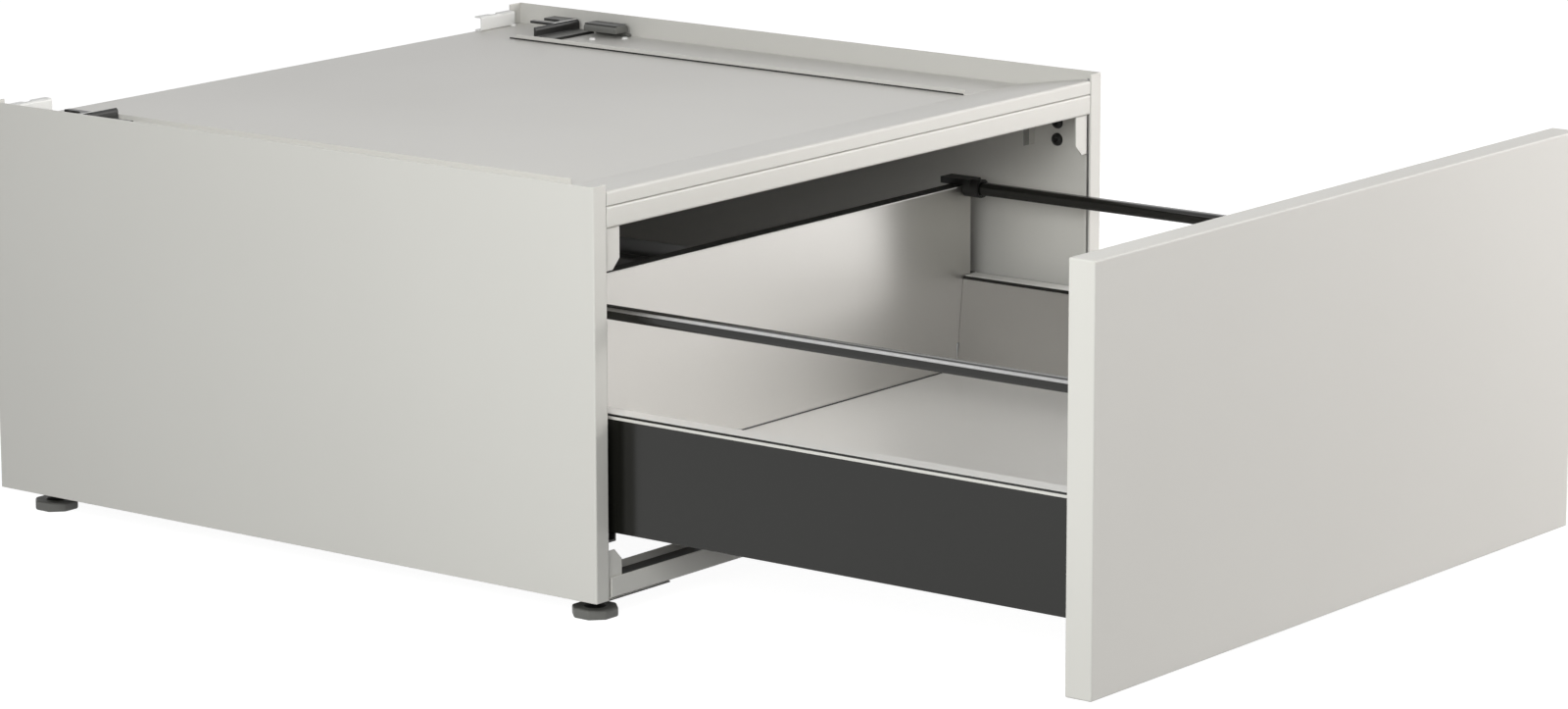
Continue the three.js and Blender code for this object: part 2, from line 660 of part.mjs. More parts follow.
// Inner skin: starts below the outer skin's return, runs down to the floor and ends in
// the ledge that the floor lies on.
function sideLiner() {
  const top = sideTopZ - SIDE_INNER_RETURN - GAP;
  const section = foldedSheet([
    [sideInnerTopX, top], [sideInnerBaseX, floorTopZ + LINER_FOOT],
    [sideInnerBaseX, ledgeBottomZ + LINER_SHEET],
    [sideInnerBaseX - LINER_LEDGE, ledgeBottomZ + LINER_SHEET],
  ], LINER_SHEET, LINER_SHEET / 2);
  return prism('y', section, sideStartY, backY - GAP);
}

function drawerFloor() {
  const edge = sideInnerBaseX - GAP;
  return block(-edge, edge, sideStartY, backY - GAP, floorBottomZ, floorTopZ);
}

// Outline of the back: full drawer width beside the hollow sides, narrower above them.
function backOutline(top) {
  const lower = drawerX - SIDE_SHEET;
  const upper = BACK_UPPER_WIDTH / 2;
  const shoulder = sideTopZ + GAP;
  const bottom = centreTopZ + RUNNER_CLEARANCE + RUNNER_SHEET + GAP;
  const notchX = sideInnerBaseX - GAP;
  return [[-notchX, floorBottomZ], [notchX, floorBottomZ], [notchX, bottom], [lower, bottom],
    [lower, shoulder], [upper, shoulder], [upper, top], [-upper, top], [-upper, shoulder],
    [-lower, shoulder], [-lower, bottom], [-notchX, bottom]];
}

function drawerBack() {
  const front = backY + LINER_SHEET + GAP;
  return prism('y', backOutline(backTopZ), front, front + BACK_THICKNESS);
}

function backLiner() {
  return prism('y', backOutline(backTopZ), backY, backY + LINER_SHEET);
}

function frontOutline(inset) {
  const half = halfWidth - FRONT_SIDE_MARGIN - inset;
  return [-half, half, inset, PANEL_HEIGHT - FRONT_TOP_DROP - inset];
}

// Tray-shaped steel front, open towards the casing, with slightly rounded edges.
function frontShell() {
  const r = FRONT_EDGE_RADIUS;
  const [x0, x1, z0, z1] = frontOutline(r);
  const shape = new THREE.Shape([[x0, z0], [x1, z0], [x1, z1], [x0, z1]]
    .map(([u, v]) => new THREE.Vector2(u, v)));
  const solid = new THREE.ExtrudeGeometry(shape, {
    depth: FRONT_THICKNESS - 2 * r,
    bevelThickness: r,
    bevelSize: r,
    bevelSegments: FRONT_EDGE_STEPS,
  }).rotateX(Math.PI / 2).translate(0, frontBackY - r, 0);
  const [ix0, ix1, iz0, iz1] = frontOutline(FRONT_SHEET);
  return cut(solid, block(ix0, ix1, frontFaceY + FRONT_SHEET, frontBackY + OVERCUT, iz0, iz1));
}

function frontInnerPlate() {
  const [x0, x1, z0, z1] = frontOutline(FRONT_SHEET + GAP);
  return block(x0, x1, frontBackY - FRONT_SHEET, frontBackY, z0, z1);
}

function galleryOutline(grow) {
  return roundedRectangle(galleryX - GALLERY_WIDTH / 2 - grow, galleryX + GALLERY_WIDTH / 2 + grow,
    galleryZ - GALLERY_HEIGHT / 2 - grow, galleryZ + GALLERY_HEIGHT / 2 + grow, GALLERY_RADIUS + grow);
}

function galleryRail() {
  return prism('y', galleryOutline(0), frontBackY + GAP, backY - GAP);
}

// Sleeve round the rail's rear end with a block that hooks over the back's top corner.
function rearHolder() {
  const sleeve = prism('y', galleryOutline(HOLDER_WALL), backY - HOLDER_GRIP, backY - GAP);
  const bore = prism('y', galleryOutline(GAP), backY - HOLDER_GRIP - OVERCUT, backY + OVERCUT);
  const rear = backY + LINER_SHEET + GAP + BACK_THICKNESS;
  const capBottom = backTopZ + GAP;
  const capTop = galleryZ + GALLERY_HEIGHT / 2 + HOLDER_WALL;
  const cap = block(galleryX - GALLERY_WIDTH / 2 - HOLDER_WALL,
    galleryX + GALLERY_WIDTH / 2 + HOLDER_WALL, backY - HOLDER_GRIP / 2, rear + HOLDER_BACKING,
    capBottom, capTop);
  return join(cut(sleeve, bore), cut(cap, bore));
}

// Block in the front end of the hollow side, fastened to the inner plate.
function frontFixing() {
  const outerX = drawerX - SIDE_SHEET - GAP;
  const topZ = sideTopZ - SIDE_SHEET - GAP - FIXING_DROP;
  return block(outerX - FIXING_WIDTH, outerX, frontBackY + GAP, frontBackY + FIXING_LENGTH,
    topZ - FIXING_HEIGHT, topZ);
}

// Socket on the inner plate that holds the rail's front end.
function railSocket() {
  const ring = prism('y', galleryOutline(SOCKET_WALL), frontBackY, frontBackY + SOCKET_THICKNESS);
  return cut(ring, prism('y', galleryOutline(GAP), frontBackY - OVERCUT,
    frontBackY + SOCKET_THICKNESS + OVERCUT));
}

// ---------------------------------------------------------------- assembly

placePair('side_panel', sidePanel(), 'casing');
place('deck_panel', deckPanel(), 'casing');
placePair('foot_channel', footChannel(), 'casing');
place('front_top_rail', frontTopRail(), 'casing');
placePair('top_corner_bracket', topBracket(), 'casing');
screwHeights().forEach((z, i) => {
  placePair(i === 0 ? 'lower_bracket_screw' : 'upper_bracket_screw', bracketScrew(z), 'blackSteel');
});
place('front_bottom_rail', bottomRail(0, -1, railEndX), 'casing');
place('rear_bottom_rail', bottomRail(rearRailY, 1, insideX), 'casing');
placePair('bottom_corner_bracket', bottomBracket(), 'casing');
place('rear_panel', rearPanel(), 'casing');
for (const [word, y] of Object.entries(footYs)) {
  const faceY = word === 'front' ? 0 : rearRailY;
  placePair(`${word}_foot_plate`, footPlate(faceY, word === 'front' ? -1 : 1), 'casing');
  placePair(`${word}_lock_nut`, lockNut(y), 'zinc');
  placePair(`${word}_levelling_foot`, levellingFoot(y), 'footPlastic');
}
placePair('rear_stop', rearStop(), 'bracketWhite');
placePair('rear_machine_foot_retainer', rearRetainer(), 'blackSteel');
placePair('front_machine_foot_retainer', frontRetainer(), 'blackSteel');
placePair('runner_support', runnerSupport(), 'zinc');
placePair('runner_cabinet_member', cabinetMember(), 'blackSteel');
placePair('runner_centre_member', centreMember(), 'zinc');
placePair('runner_drawer_member', drawerMember(), 'zinc');
place('drawer_front_shell', frontShell(), 'casing');
place('drawer_front_inner_plate', frontInnerPlate(), 'casing');
placePair('drawer_side', drawerSide(), 'anthracite');
placePair('drawer_side_liner', sideLiner(), 'satinSteel');
place('drawer_floor', drawerFloor(), 'satinSteel');
place('drawer_back', drawerBack(), 'board');
place('drawer_back_liner', backLiner(), 'satinSteel');
placePair('gallery_rail', galleryRail(), 'blackPlastic');
placePair('rail_rear_holder', rearHolder(), 'blackPlastic');
placePair('rail_front_socket', railSocket(), 'blackPlastic');
placePair('side_front_fixing', frontFixing(), 'blackPlastic');

// origin: on the floor, under the middle of the pedestal with its drawer drawn out
group.position.set(0, -(frontFaceY + CASING_DEPTH) / 2, FOOT_DROP);
group.updateMatrixWorld(true);

export default group;
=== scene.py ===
import json
import math

import bmesh
import bpy
from mathutils import Matrix, Vector


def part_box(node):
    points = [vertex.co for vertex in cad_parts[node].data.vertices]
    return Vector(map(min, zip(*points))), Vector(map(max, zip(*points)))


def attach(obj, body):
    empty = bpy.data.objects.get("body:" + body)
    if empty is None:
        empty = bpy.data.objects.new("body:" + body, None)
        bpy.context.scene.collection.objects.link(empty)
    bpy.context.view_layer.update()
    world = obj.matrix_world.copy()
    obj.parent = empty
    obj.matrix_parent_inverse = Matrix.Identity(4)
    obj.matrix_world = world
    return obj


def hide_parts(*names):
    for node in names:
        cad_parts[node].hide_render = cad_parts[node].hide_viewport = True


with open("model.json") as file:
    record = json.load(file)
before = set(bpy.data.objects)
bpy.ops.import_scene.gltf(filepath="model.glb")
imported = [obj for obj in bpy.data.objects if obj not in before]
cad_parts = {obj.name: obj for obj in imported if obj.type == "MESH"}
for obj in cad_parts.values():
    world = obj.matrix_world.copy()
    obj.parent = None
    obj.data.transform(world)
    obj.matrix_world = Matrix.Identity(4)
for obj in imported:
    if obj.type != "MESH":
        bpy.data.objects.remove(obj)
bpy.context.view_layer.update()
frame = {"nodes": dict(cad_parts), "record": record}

# Washer pedestal with one wide drawer, drawn out. The casing is folded steel with a
# satin powder coat; the drawer has dark sides, a satin steel lining and black rails.

# ------------------------------------------------------------------ shared sizes

MM = 0.001
ALONG = 1
UPRIGHT = 2
UP = Vector((0, 0, 1))
SIDES = {"left": -1, "right": 1}
CASING = "casing"
DRAWER = "drawer"

WELD_DISTANCE = 0.004 * MM
FLAT_ANGLE = math.radians(1)
SMOOTH_ANGLE = math.radians(46)
EDGE_ANGLE = math.radians(50)
CUT_EDGE_ANGLE = math.radians(80)
PARALLEL = 0.99
EDGE_SEGMENTS = 2
FOLD_SEGMENTS = 6
ROUND_STEPS = 32

SHEET = 1.2 * MM
SHEET_EDGE = 0.3 * MM
# Offset and edge rounding of the slim strips that paint highlights and shade lines onto other
# pieces.
OVERLAY_PROUD = 0.06 * MM
OVERLAY_EDGE = 0.15 * MM


def casing_point(x, y, z):
    """A point in mm from the casing's front face and the lower edge of its side panels."""
    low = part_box("side_panel_right")[0]
    return Vector((x * MM, low.y + y * MM, low.z + z * MM))


# ------------------------------------------------------------------ camera

LENS_MM = 134.7
CAMERA_PLACE = Vector((-3.2641, -2.5385, 1.0154))
CAMERA_HEADING = math.radians(52.243)
CAMERA_TILT = math.radians(-12.124)
CAMERA_ROLL = math.radians(-0.073)


def make_camera():
    data = bpy.data.cameras.new("studio camera")
    data.lens = LENS_MM
    camera = bpy.data.objects.new("studio camera", data)
    heading = Matrix.Rotation(-CAMERA_HEADING, 4, "Z")
    tilt = Matrix.Rotation(math.pi / 2 + CAMERA_TILT, 4, "X")
    roll = Matrix.Rotation(CAMERA_ROLL, 4, "Z")
    camera.matrix_world = Matrix.Translation(CAMERA_PLACE) @ heading @ tilt @ roll
    bpy.context.scene.collection.objects.link(camera)
    bpy.context.scene.camera = camera


make_camera()

# ------------------------------------------------------------------ shared shader effects

RELIEF_DETAIL = 2.0
RELIEF_DEPTH = 0.1 * MM
DRIFT_DETAIL = 4.0
GRAIN_DETAIL = 3.0
GRAIN_DEPTH = 0.05 * MM


def shader_group(name, inputs, outputs):
    """A node group with named sockets, and the nodes at its two ends."""
    group = bpy.data.node_groups.new(name, "ShaderNodeTree")
    for label, kind, value in inputs:
        socket = group.interface.new_socket(label, in_out="INPUT", socket_type=kind)
        socket.default_value = value
    for label, kind in outputs:
        group.interface.new_socket(label, in_out="OUTPUT", socket_type=kind)
    return group, group.nodes.new("NodeGroupInput"), group.nodes.new("NodeGroupOutput")


def fine_relief_group():
    """The slight orange peel of a coat, or the grain of a moulded face."""
    group, start, end = shader_group(
        "fine_relief",
        [("Scale", "NodeSocketFloat", 500.0), ("Strength", "NodeSocketFloat", 0.2)],
        [("Normal", "NodeSocketVector")],
    )
    place = group.nodes.new("ShaderNodeTexCoord")
    noise = group.nodes.new("ShaderNodeTexNoise")
    noise.inputs["Detail"].default_value = RELIEF_DETAIL
    bump = group.nodes.new("ShaderNodeBump")
    bump.inputs["Distance"].default_value = RELIEF_DEPTH
    group.links.new(place.outputs["Object"], noise.inputs["Vector"])
    group.links.new(start.outputs["Scale"], noise.inputs["Scale"])
    group.links.new(noise.outputs["Fac"], bump.inputs["Height"])
    group.links.new(start.outputs["Strength"], bump.inputs["Strength"])
    group.links.new(bump.outputs["Normal"], end.inputs["Normal"])
    return group


def tone_drift_group():
    """Two close tones that drift into each other, with the mask that mixes them."""
    group, start, end = shader_group(
        "tone_drift",
        [
            ("Light", "NodeSocketColor", (0.8, 0.8, 0.8, 1.0)),
            ("Dark", "NodeSocketColor", (0.7, 0.7, 0.7, 1.0)),
            ("Scale", "NodeSocketFloat", 6.0),
        ],
        [("Color", "NodeSocketColor"), ("Mask", "NodeSocketFloat")],
    )
    place = group.nodes.new("ShaderNodeTexCoord")
    noise = group.nodes.new("ShaderNodeTexNoise")
    noise.inputs["Detail"].default_value = DRIFT_DETAIL
    mix = group.nodes.new("ShaderNodeMix")
    mix.data_type = "RGBA"
    group.links.new(place.outputs["Object"], noise.inputs["Vector"])
    group.links.new(start.outputs["Scale"], noise.inputs["Scale"])
    group.links.new(noise.outputs["Fac"], mix.inputs["Factor"])
    group.links.new(start.outputs["Light"], mix.inputs["A"])
    group.links.new(start.outputs["Dark"], mix.inputs["B"])
    group.links.new(mix.outputs["Result"], end.inputs["Color"])
    group.links.new(noise.outputs["Fac"], end.inputs["Mask"])
    return group


def rolled_grain_group():
    """The fine lines that rolling or brushing leaves in steel, stretched along one way."""
    group, start, end = shader_group(
        "rolled_grain",
        [("Stretch", "NodeSocketVector", (1.0, 1.0, 1.0)), ("Strength", "NodeSocketFloat", 0.1)],
        [("Mask", "NodeSocketFloat"), ("Normal", "NodeSocketVector")],
    )
    place = group.nodes.new("ShaderNodeTexCoord")
    stretched = group.nodes.new("ShaderNodeVectorMath")
    stretched.operation = "MULTIPLY"
    noise = group.nodes.new("ShaderNodeTexNoise")
    noise.inputs["Scale"].default_value = 1.0
    noise.inputs["Detail"].default_value = GRAIN_DETAIL
    bump = group.nodes.new("ShaderNodeBump")
    bump.inputs["Distance"].default_value = GRAIN_DEPTH
    group.links.new(place.outputs["Object"], stretched.inputs[0])
    group.links.new(start.outputs["Stretch"], stretched.inputs[1])
    group.links.new(stretched.outputs["Vector"], noise.inputs["Vector"])
    group.links.new(noise.outputs["Fac"], bump.inputs["Height"])
    group.links.new(start.outputs["Strength"], bump.inputs["Strength"])
    group.links.new(noise.outputs["Fac"], end.inputs["Mask"])
    group.links.new(bump.outputs["Normal"], end.inputs["Normal"])
    return group


FINE_RELIEF = fine_relief_group()
TONE_DRIFT = tone_drift_group()
ROLLED_GRAIN = rolled_grain_group()

# ------------------------------------------------------------------ finishes

OPAQUE = 1.0
QUARTER_TURN = 0.25
COAT_DRIFT = 5.0
STEEL_DRIFT = 4.0
PAINT_GRAIN = 420.0
PLASTIC_GRAIN = 900.0


def new_finish(name):
    finish = bpy.data.materials.new(name)
    finish.use_nodes = True
    tree = finish.node_tree
    return finish, tree, tree.nodes["Principled BSDF"]


def use_group(tree, group, **values):
    node = tree.nodes.new("ShaderNodeGroup")
    node.node_tree = group
    for label, value in values.items():
        node.inputs[label].default_value = value
    return node


def spread_roughness(tree, mask, shader, low, high):
    """The mask moves the roughness between two values."""
    spread = tree.nodes.new("ShaderNodeMapRange")
    spread.inputs["To Min"].default_value = low
    spread.inputs["To Max"].default_value = high
    tree.links.new(mask, spread.inputs["Value"])
    tree.links.new(spread.outputs["Result"], shader.inputs["Roughness"])


def coated(name, light, dark, roughness, relief, specular=0.5, grain=PAINT_GRAIN):
    """A paint or a moulded plastic: drifting tone, slight relief, uneven gloss."""
    finish, tree, shader = new_finish(name)
    tone = use_group(tree, TONE_DRIFT, Light=(*light, OPAQUE), Dark=(*dark, OPAQUE),
                     Scale=COAT_DRIFT)
    skin = use_group(tree, FINE_RELIEF, Scale=grain, Strength=relief)
    tree.links.new(tone.outputs["Color"], shader.inputs["Base Color"])
    tree.links.new(skin.outputs["Normal"], shader.inputs["Normal"])
    spread_roughness(tree, tone.outputs["Mask"], shader, *roughness)
    shader.inputs["Specular IOR Level"].default_value = specular
    return finish


def grained(name, light, dark, roughness, stretch, relief, metallic=1.0, brushed=0.0):
    """Steel, or a laminate that looks like it. Brushing smears the gloss across the grain."""
    finish, tree, shader = new_finish(name)
    tone = use_group(tree, TONE_DRIFT, Light=(*light, OPAQUE), Dark=(*dark, OPAQUE),
                     Scale=STEEL_DRIFT)
    grain = use_group(tree, ROLLED_GRAIN, Stretch=stretch, Strength=relief)
    tree.links.new(tone.outputs["Color"], shader.inputs["Base Color"])
    tree.links.new(grain.outputs["Normal"], shader.inputs["Normal"])
    spread_roughness(tree, grain.outputs["Mask"], shader, *roughness)
    shader.inputs["Metallic"].default_value = metallic
    shader.inputs["Anisotropic"].default_value = brushed
    shader.inputs["Anisotropic Rotation"].default_value = QUARTER_TURN
    return finish


COATS = {
    "casing_paint": {
        "light": (0.705, 0.694, 0.665), "dark": (0.675, 0.663, 0.635),
        "roughness": (0.34, 0.44), "relief": 0.05,
    },
    "white_paint": {
        "light": (0.84, 0.84, 0.83), "dark": (0.80, 0.80, 0.79),
        "roughness": (0.30, 0.42), "relief": 0.05,
    },
    "black_steel": {
        "light": (0.016, 0.016, 0.015), "dark": (0.010, 0.010, 0.010),
        "roughness": (0.29, 0.40), "relief": 0.08,
    },
    "anthracite_paint": {
        "light": (0.011, 0.011, 0.009), "dark": (0.008, 0.008, 0.007),
        "roughness": (0.15, 0.23), "relief": 0.02, "specular": 0.42,
    },
    "dark_board": {
        "light": (0.020, 0.020, 0.018), "dark": (0.014, 0.014, 0.013),
        "roughness": (0.45, 0.60), "relief": 0.12,
    },
    "black_plastic": {
        "light": (0.013, 0.013, 0.012), "dark": (0.008, 0.008, 0.008),
        "roughness": (0.38, 0.50), "relief": 0.15, "grain": PLASTIC_GRAIN,
    },
    "foot_plastic": {
        "light": (0.16, 0.16, 0.15), "dark": (0.12, 0.12, 0.115),
        "roughness": (0.40, 0.52), "relief": 0.15, "grain": PLASTIC_GRAIN,
    },
}

# A high stretch along one axis sets the grain's lines close together across that axis.
GRAINED = {
    "zinc_steel": {
        "light": (0.46, 0.46, 0.45), "dark": (0.36, 0.36, 0.36),
        "roughness": (0.30, 0.48), "stretch": (60, 8, 60), "relief": 0.15,
    },
    "satin_steel": {
        "light": (0.65, 0.64, 0.62), "dark": (0.61, 0.60, 0.58),
        "roughness": (0.33, 0.38), "stretch": (9, 9, 900), "relief": 0.05, "brushed": 0.85,
    },
    "floor_laminate": {
        "light": (0.84, 0.83, 0.81), "dark": (0.80, 0.79, 0.77),
        "roughness": (0.29, 0.36), "stretch": (300, 7, 300), "relief": 0.02, "metallic": 0.1,
    },
}

FINISHES = {name: coated(name, **values) for name, values in COATS.items()}
FINISHES |= {name: grained(name, **values) for name, values in GRAINED.items()}
SLOTS = {row["node"]: row["material_slot"] for row in frame["record"]["subparts"]}
BODIES = {
    node: body
    for body, nodes in frame["record"]["behaviour"]["bodies"].items()
    for node in nodes
}


def refinish_nodes():
    """The CAD pieces take the finish of their slot."""
    for node, obj in frame["nodes"].items():
        obj.data.materials.clear()
        obj.data.materials.append(FINISHES[SLOTS[node]])


refinish_nodes()

# ------------------------------------------------------------------ shaping


def copy_of(node):
    """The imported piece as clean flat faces."""
    bm = bmesh.new()
    bm.from_mesh(frame["nodes"][node].data)
    bmesh.ops.remove_doubles(bm, verts=bm.verts, dist=WELD_DISTANCE)
    bmesh.ops.dissolve_limit(bm, angle_limit=FLAT_ANGLE, verts=bm.verts, edges=bm.edges)
    return bm


def bevel(bm, edges, radius, segments=EDGE_SEGMENTS):
    bmesh.ops.bevel(bm, geom=edges, offset=radius, offset_type="OFFSET", segments=segments,
                    profile=0.5, affect="EDGES", material=-1, clamp_overlap=True)


def steep_edges(bm, angle=EDGE_ANGLE):
    return [edge for edge in bm.edges if edge.is_manifold and edge.calc_face_angle() > angle]


def block(low, high):
    """A plain block between two corners, ready to be shaped."""
    bm = bmesh.new()
    bmesh.ops.create_cube(bm, size=1.0)
    bmesh.ops.scale(bm, vec=high - low, verts=bm.verts)
    bmesh.ops.translate(bm, vec=(low + high) / 2, verts=bm.verts)
    return bm


def lengthwise_edges(bm):
    """The edges that run from the front to the back."""
    return [edge for edge in bm.edges
            if abs((edge.verts[0].co - edge.verts[1].co).normalized()[ALONG]) > PARALLEL]


def folded_sheet(corners, run, gauge, radii, edge=SHEET_EDGE):
    """A strip drawn out along `run` and folded at its inner corners.

    The corners lie on the sheet's outer face, and its metal lies behind that face.
    """
    bm = bmesh.new()
    spots = [bm.verts.new(corner) for corner in corners]
    lines = [bm.edges.new(pair) for pair in zip(spots, spots[1:])]
    drawn = bmesh.ops.extrude_edge_only(bm, edges=lines)["geom"]
    ends = [item for item in drawn if isinstance(item, bmesh.types.BMVert)]
    bmesh.ops.translate(bm, vec=run, verts=ends)
    for corner, radius in zip(corners[1:-1], radii):
        middle = Vector(corner) + run / 2
        fold = [line for line in bm.edges
                if ((line.verts[0].co + line.verts[1].co) / 2 - middle).length < WELD_DISTANCE]
        bevel(bm, fold, radius, FOLD_SEGMENTS)
    bmesh.ops.solidify(bm, geom=bm.faces[:], thickness=-gauge)
    bevel(bm, steep_edges(bm, CUT_EDGE_ANGLE), edge)
    return bm


def lathe(profile, centre, axis):
    """A turned piece. The profile's points are radius and height along the axis."""
    bm = bmesh.new()
    turn = UP.rotation_difference(axis).to_matrix()
    spots = [bm.verts.new(centre + turn @ Vector((radius, 0, height)))
             for radius, height in profile]
    lines = [bm.edges.new(pair) for pair in zip(spots, spots[1:])]
    bmesh.ops.spin(bm, geom=spots + lines, cent=centre, axis=axis, angle=2 * math.pi,
                   steps=ROUND_STEPS, use_merge=True)
    bmesh.ops.remove_doubles(bm, verts=bm.verts, dist=WELD_DISTANCE)
    return bm


def in_mm(profile):
    return [(radius * MM, height * MM) for radius, height in profile]


def lengthen(bm, axis, beyond, reach):
    """Moves all that lies past a plane, so that the piece grows at that end."""
    move = [0.0, 0.0, 0.0]
    move[axis] = reach
    far = [v for v in bm.verts if v.co[axis] > beyond]
    bmesh.ops.translate(bm, vec=move, verts=far)


def mirrored(bm, side):
    """The piece as drawn for the right, or its mirror image for the left."""
    if SIDES[side] < 0:
        bmesh.ops.scale(bm, vec=(-1, 1, 1), verts=bm.verts)
        bmesh.ops.reverse_faces(bm, faces=bm.faces[:])
    return bm


def add_piece(name, bm, body, slot, *nodes):
    """Writes the mesh, shades it, gives it its finish and ties it to its body."""
    bmesh.ops.recalc_face_normals(bm, faces=bm.faces[:])
    for face in bm.faces:
        face.smooth = True
    for edge in bm.edges:
        edge.smooth = not edge.is_manifold or edge.calc_face_angle() < SMOOTH_ANGLE
    mesh = bpy.data.meshes.new(name)
    bm.to_mesh(mesh)
    bm.free()
    mesh.materials.append(FINISHES[slot])
    piece = bpy.data.objects.new(name, mesh)
    bpy.context.scene.collection.objects.link(piece)
    flats = piece.modifiers.new("flat faces stay flat", "WEIGHTED_NORMAL")
    flats.keep_sharp = True
    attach(piece, body)
    if nodes:
        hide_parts(*nodes)


def replace_node(name, bm, node):
    add_piece(name, bm, BODIES[node], SLOTS[node], node)


def strip(name, low, high, body, slot, edge):
    """A slim piece with softened edges, drawn for the right and set on both sides."""
    for side in SIDES:
        bm = block(low, high)
        bevel(bm, bm.edges[:], edge)
        add_piece(f"{name}_{side}", mirrored(bm, side), body, slot)


# ------------------------------------------------------------------ pieces with the CAD outline

# Each row gives the piece's name and the radius of its edges in mm.
EDGED = {
    "front_bottom_rail": ("lower_front_rail", 0.4),
    "rear_bottom_rail": ("lower_rear_rail", 0.4),
    "rear_panel": ("closing_panel", 0.3),
    "drawer_front_inner_plate": ("front_lining", 0.4),
    "drawer_floor": ("floor_board", 0.4),
    "drawer_back": ("back_board", 0.6),
    "drawer_back_liner": ("back_lining", 0.25),
}
EDGED_PAIRS = {
    "foot_channel": ("machine_foot_channel", 0.3),
    "top_corner_bracket": ("upper_gusset", 0.3),
    "bottom_corner_bracket": ("lower_gusset", 0.3),
    "rear_stop": ("stop_bracket", 0.3),
    "rear_machine_foot_retainer": ("foot_fork", 0.4),
    "rail_rear_holder": ("rail_clamp", 0.7),
    "rail_front_socket": ("rail_cup", 0.5),
    "front_lock_nut": ("front_jam_nut", 0.6),
    "rear_lock_nut": ("rear_jam_nut", 0.6),
    "front_foot_plate": ("front_foot_pad_plate", 0.25),
    "rear_foot_plate": ("rear_foot_pad_plate", 0.25),
}


def edged_copy(node, radius):
    """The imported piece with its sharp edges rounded. The radius is in mm."""
    bm = copy_of(node)
    bevel(bm, steep_edges(bm), radius * MM)
    return bm


def edged_pieces():
    for node, (name, radius) in EDGED.items():
        replace_node(name, edged_copy(node, radius), node)
    for base, (name, radius) in EDGED_PAIRS.items():
        for side in SIDES:
            node = f"{base}_{side}"
            replace_node(f"{name}_{side}", edged_copy(node, radius), node)


edged_pieces()

# ------------------------------------------------------------------ casing

LIP_PIECES = {"deck_panel": ("deck_sheet", 0.35), "front_top_rail": ("upper_front_rail", 0.4)}
LIP_REACH = 2.0 * MM
LIP_END_BAND = 0.3 * MM
LIP_DEPTH = 8.0 * MM


def front_lips():
    """The deck's front lip and the rail below it end close to the side panels' flanges."""
    low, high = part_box("front_top_rail")
    for node, (name, radius) in LIP_PIECES.items():
        bm = copy_of(node)
        for side in SIDES.values():
            ends = [v for v in bm.verts
                    if abs(v.co.x - side * high.x) < LIP_END_BAND and v.co.y < low.y + LIP_DEPTH]
            bmesh.ops.translate(bm, vec=(side * LIP_REACH, 0, 0), verts=ends)
        bevel(bm, steep_edges(bm), radius * MM)
        replace_node(name, bm, node)


FLANGE_RETURN = 5.0 * MM
FOLD_RADIUS = 1.4 * MM


def side_sheets():
    """Each side panel is one sheet, with two folds at the front and one at the rear."""
    low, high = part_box("side_panel_right")
    corners = [
        (low.x, low.y + FLANGE_RETURN, low.z),
        (low.x, low.y, low.z),
        (high.x, low.y, low.z),
        (high.x, high.y, low.z),
        (low.x, high.y, low.z),
    ]
    run = Vector((0, 0, high.z - low.z))
    for side in SIDES:
        bm = folded_sheet(corners, run, SHEET, [FOLD_RADIUS] * 3)
        replace_node(f"side_sheet_{side}", mirrored(bm, side), f"side_panel_{side}")


# Opposite corners of each strip on the right, as casing points, and its finish.
CASING_STRIPS = {
    # Black line under the deck's ridge: painted shade.
    "ridge_shade_line": ((228.12, 77, 271), (228.4, 520, 272.1), "black_plastic"),
    # Grey line on the fold of each front flange's return: painted shade at the fold.
    "flange_fold_shade": ((282.98, 0.9, 3), (283.3, 2.9, 284), "zinc_steel"),
    "lip_pin": ((281.3, 0.5, 268.8), (282.9, 2.0, 270.6), "black_plastic"),
    "gusset_tab": ((281.5, 59.2, 227.2), (293.4, 59.8, 255.5), "zinc_steel"),
    # White line along the fork's crease: painted highlight.
    "fork_crease_highlight": ((259.8, 500.2, 280.9), (288.8, 501.4, 281.2), "white_paint"),
    "fork_foot": ((236, 484.2, 272.9), (288.6, 497, 273.2), "foot_plastic"),
    # Black pad on the clamp's top: painted dark reflection on the clip's upper face.
    "clamp_top_shade": ((275.6, 450.8, 280.9), (289.7, 482.4, 281.3), "black_plastic"),
}
CASING_STRIP_EDGE = 0.12 * MM


def casing_strips():
    """Strips that lie on the casing's sheets and clips: a pin, a tab and an inlay, and painted
    shade lines and a painted highlight.
    """
    for name, (low, high, slot) in CASING_STRIPS.items():
        strip(name, casing_point(*low), casing_point(*high), CASING, slot, CASING_STRIP_EDGE)


# Radius and height in mm, and the plugs' places across and along the right channel.
PLUG_PROFILE = [(0, 1.7), (1.8, 1.6), (2.5, 1.0), (2.7, 0)]
PLUG_PLACES = {"rear": (279.9, 560.2), "middle": (263.5, 464.7), "front": (281.5, 446.0)}
CHANNEL_FLOOR = 271


def channel_plugs():
    """White plugs that close the holes in the foot channels."""
    for place, (x, y) in PLUG_PLACES.items():
        for side in SIDES:
            plug = lathe(in_mm(PLUG_PROFILE), casing_point(x, y, CHANNEL_FLOOR), UP)
            add_piece(f"{place}_channel_plug_{side}", mirrored(plug, side), CASING, "white_paint")


CLAMP_EDGE = 0.4


def foot_clamps():
    """The front retainers in the foot channels, in the feet's dark grey: a painted reflection of
    bright surroundings on dark steel clips.
    """
    for side in SIDES:
        node = f"front_machine_foot_retainer_{side}"
        add_piece(f"foot_clamp_{side}", edged_copy(node, CLAMP_EDGE), CASING, "foot_plastic", node)


